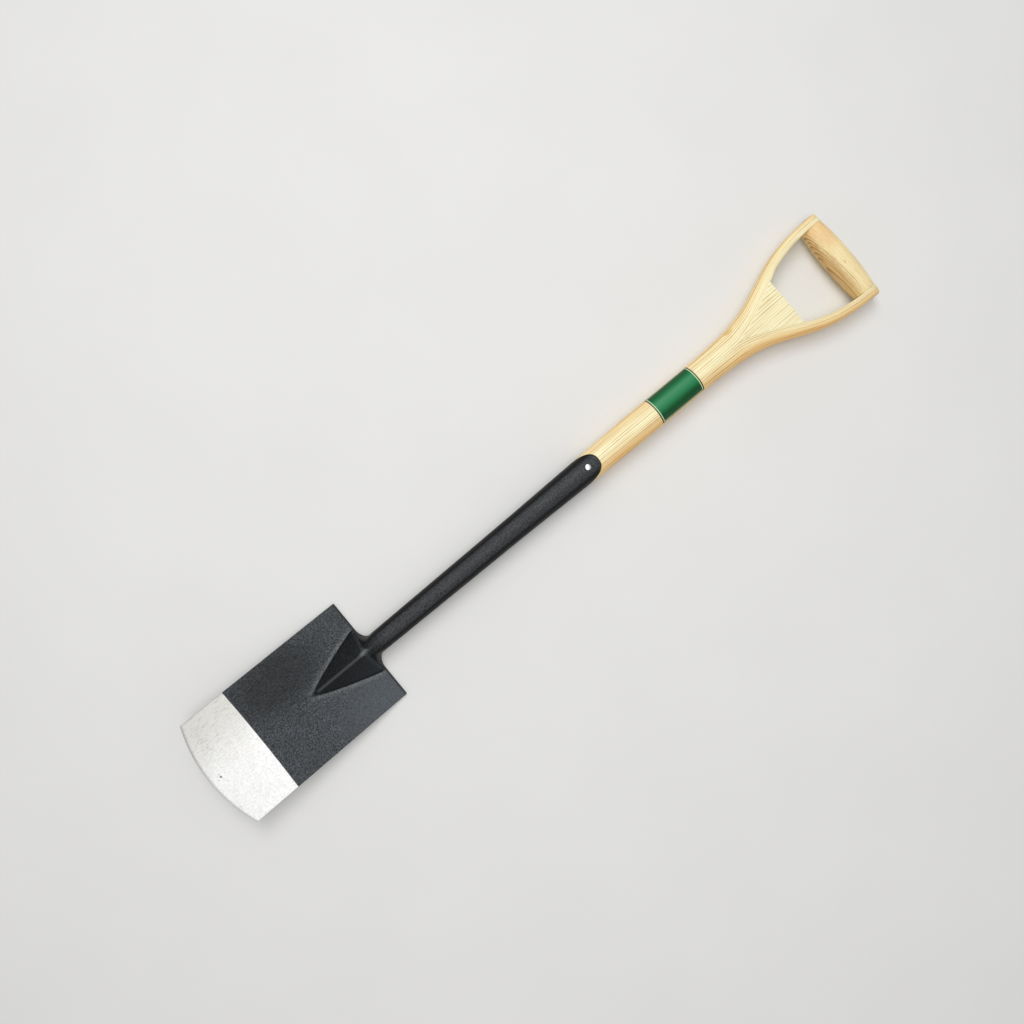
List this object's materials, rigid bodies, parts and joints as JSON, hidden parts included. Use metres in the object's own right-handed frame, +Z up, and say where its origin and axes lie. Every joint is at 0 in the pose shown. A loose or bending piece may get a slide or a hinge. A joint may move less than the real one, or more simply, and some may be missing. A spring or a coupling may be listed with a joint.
{
  "type": "border spade",
  "caption": "Border spade with a narrow steel blade that curves gently to its edge, a V-shaped ridge, a long tapered socket, and an ash shaft split into a D handle round a turned crossbar.",
  "frame": {"origin": "on the ground, under the middle of the spade's bounding box, as it lies face up on its heel and its wood", "axes": "+X along the spade from the cutting edge to the crossbar, +Y across the blade and along the crossbar, +Z up, out of the blade's face"},
  "size_m": [1.001, 0.1446, 0.038],
  "materials": {
    "black_powder_coat": "satin powder coat, with the last 74 mm of the blade bare steel",
    "pale_ash": "sanded and lightly oiled",
    "ash_filler": "sanded and lightly oiled",
    "golden_ash": "sanded and lightly oiled",
    "bright_steel": "plain, hammered over at the heads",
    "green_paper": "printed paper label with a satin face, plain here but for its border lines"
  },
  "bodies": {
    "root": {"spade_head": "black_powder_coat", "ash_shaft": "pale_ash", "yoke_wedge": "ash_filler", "crossbar_grip": "golden_ash", "crossbar_rod": "bright_steel", "rod_washer_left": "bright_steel", "rod_washer_right": "bright_steel", "socket_rivet": "bright_steel", "handle_label": "green_paper"}
  },
  "joints": []
}
